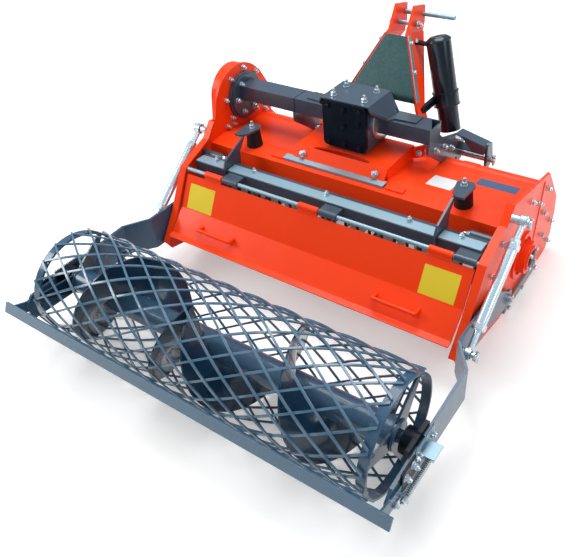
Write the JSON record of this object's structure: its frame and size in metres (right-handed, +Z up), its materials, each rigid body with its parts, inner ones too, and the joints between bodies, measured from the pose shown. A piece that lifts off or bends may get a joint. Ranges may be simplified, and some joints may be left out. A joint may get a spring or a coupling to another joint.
{
  "type": "tractor stone crusher",
  "caption": "Tractor-mounted stone crusher with a toothed rotor in an orange housing, a hinged rear door, a comb and a mesh packer roller.",
  "frame": {"origin": "on the floor under the middle of the machine's overall size", "axes": "+X is the machine's right, +Y points forwards to the tractor, +Z is up"},
  "size_m": [1.556, 1.6588, 0.88],
  "materials": {
    "orange_paint": "gloss orange-red paint",
    "dark_paint": "satin blue-grey paint",
    "galvanised": "zinc plated",
    "black_parts": "black moulding",
    "bare_steel": "bare steel",
    "rubber_stops": "black rubber"
  },
  "bodies": {
    "housing": {"side_plate_left": "orange_paint", "side_plate_right": "orange_paint", "hood": "orange_paint", "front_tube": "orange_paint", "front_apron": "orange_paint", "side_skids": "bare_steel", "rotor_bearing_hubs": "black_parts", "chain_case": "orange_paint", "gearbox": "dark_paint", "gearbox_cover": "black_parts", "gearbox_top_plate": "dark_paint", "gearbox_cradle": "orange_paint", "cradle_pad_bar": "galvanised", "drive_tube_left": "dark_paint", "drive_tube_right": "dark_paint", "pto_guard": "black_parts", "hitch_plates": "dark_paint", "lower_link_brackets": "dark_paint", "lower_link_pins": "galvanised", "top_link_ears": "orange_paint", "a_frame_legs": "orange_paint", "a_frame_guard": "galvanised", "top_link_pins": "galvanised", "document_tube": "black_parts", "document_tube_brackets": "black_parts", "comb_beam": "dark_paint", "comb_strip": "galvanised", "comb_tines": "bare_steel", "comb_pivot_tubes": "dark_paint", "bumper_arms": "dark_paint", "rubber_bumpers": "rubber_stops", "hinge_rod": "galvanised", "hinge_holders": "dark_paint", "arm_pivot_pins": "galvanised", "turnbuckle_top_pins": "galvanised"},
    "pto": {"pto_shaft": "bare_steel"},
    "rotor": {"rotor_drum": "bare_steel", "rotor_discs": "bare_steel", "rotor_teeth": "bare_steel"},
    "rear_door": {"rear_door": "orange_paint", "door_barrels": "orange_paint", "door_handles": "orange_paint"},
    "roller_frame": {"roller_arm_left": "dark_paint", "roller_arm_right": "dark_paint", "roller_bearings": "black_parts", "scraper_bar": "dark_paint", "scraper_brackets": "dark_paint", "scraper_springs": "galvanised", "turnbuckle_low_pins": "galvanised"},
    "roller": {"roller_shaft": "dark_paint", "roller_bands": "dark_paint", "roller_spokes": "dark_paint", "roller_mesh_outer": "dark_paint", "roller_mesh_inner": "dark_paint", "auger_flights": "dark_paint"},
    "turnbuckle_left": {"turnbuckle_sleeve_left": "galvanised"},
    "turnbuckle_right": {"turnbuckle_sleeve_right": "galvanised"},
    "turnbuckle_rod_left": {"turnbuckle_rod_left": "galvanised"},
    "turnbuckle_rod_right": {"turnbuckle_rod_right": "galvanised"}
  },
  "joints": [
    {"name": "rotor_spin", "type": "hinge", "parent": "housing", "child": "rotor", "pos_m": [0, 0.35842, 0.195], "axis": [1, 0, 0], "continuous": true},
    {"name": "pto_spin", "type": "hinge", "parent": "housing", "child": "pto", "pos_m": [-0.05, 0.52242, 0.556], "axis": [0, 1, 0], "continuous": true},
    {"name": "door_hinge", "type": "hinge", "parent": "housing", "child": "rear_door", "pos_m": [0, 0.01342, 0.378], "axis": [-1, 0, 0], "range_deg": [0, 60]},
    {"name": "roller_frame_hinge", "type": "hinge", "parent": "housing", "child": "roller_frame", "pos_m": [0, 0.22342, 0.092], "axis": [-1, 0, 0], "range_deg": [-4, 10]},
    {"name": "roller_spin", "type": "hinge", "parent": "roller_frame", "child": "roller", "pos_m": [0, -0.57458, 0.2], "axis": [1, 0, 0], "continuous": true},
    {"name": "turnbuckle_tilt_left", "type": "hinge", "parent": "housing", "child": "turnbuckle_left", "pos_m": [-0.694, 0.18342, 0.462], "axis": [-1, 0, 0], "range_deg": [-2.83, 6.31]},
    {"name": "turnbuckle_screw_left", "type": "slide", "parent": "turnbuckle_left", "child": "turnbuckle_rod_left", "axis": [0, -0.7966, -0.6045], "range_m": [-0.0587, 0.0253]},
    {"name": "turnbuckle_tilt_right", "type": "hinge", "parent": "housing", "child": "turnbuckle_right", "pos_m": [0.694, 0.18342, 0.462], "axis": [-1, 0, 0], "range_deg": [-2.83, 6.31]},
    {"name": "turnbuckle_screw_right", "type": "slide", "parent": "turnbuckle_right", "child": "turnbuckle_rod_right", "axis": [0, -0.7966, -0.6045], "range_m": [-0.0587, 0.0253]}
  ],
  "couplings": [
    {"joint": "pto_spin", "follows": "rotor_spin", "ratio": 0.5},
    {"joint": "turnbuckle_tilt_left", "follows": "roller_frame_hinge", "ratio": 0.58138},
    {"joint": "turnbuckle_screw_left", "follows": "roller_frame_hinge", "m_per_rad": -0.31892},
    {"joint": "turnbuckle_tilt_right", "follows": "roller_frame_hinge", "ratio": 0.58138},
    {"joint": "turnbuckle_screw_right", "follows": "roller_frame_hinge", "m_per_rad": -0.31892}
  ]
}
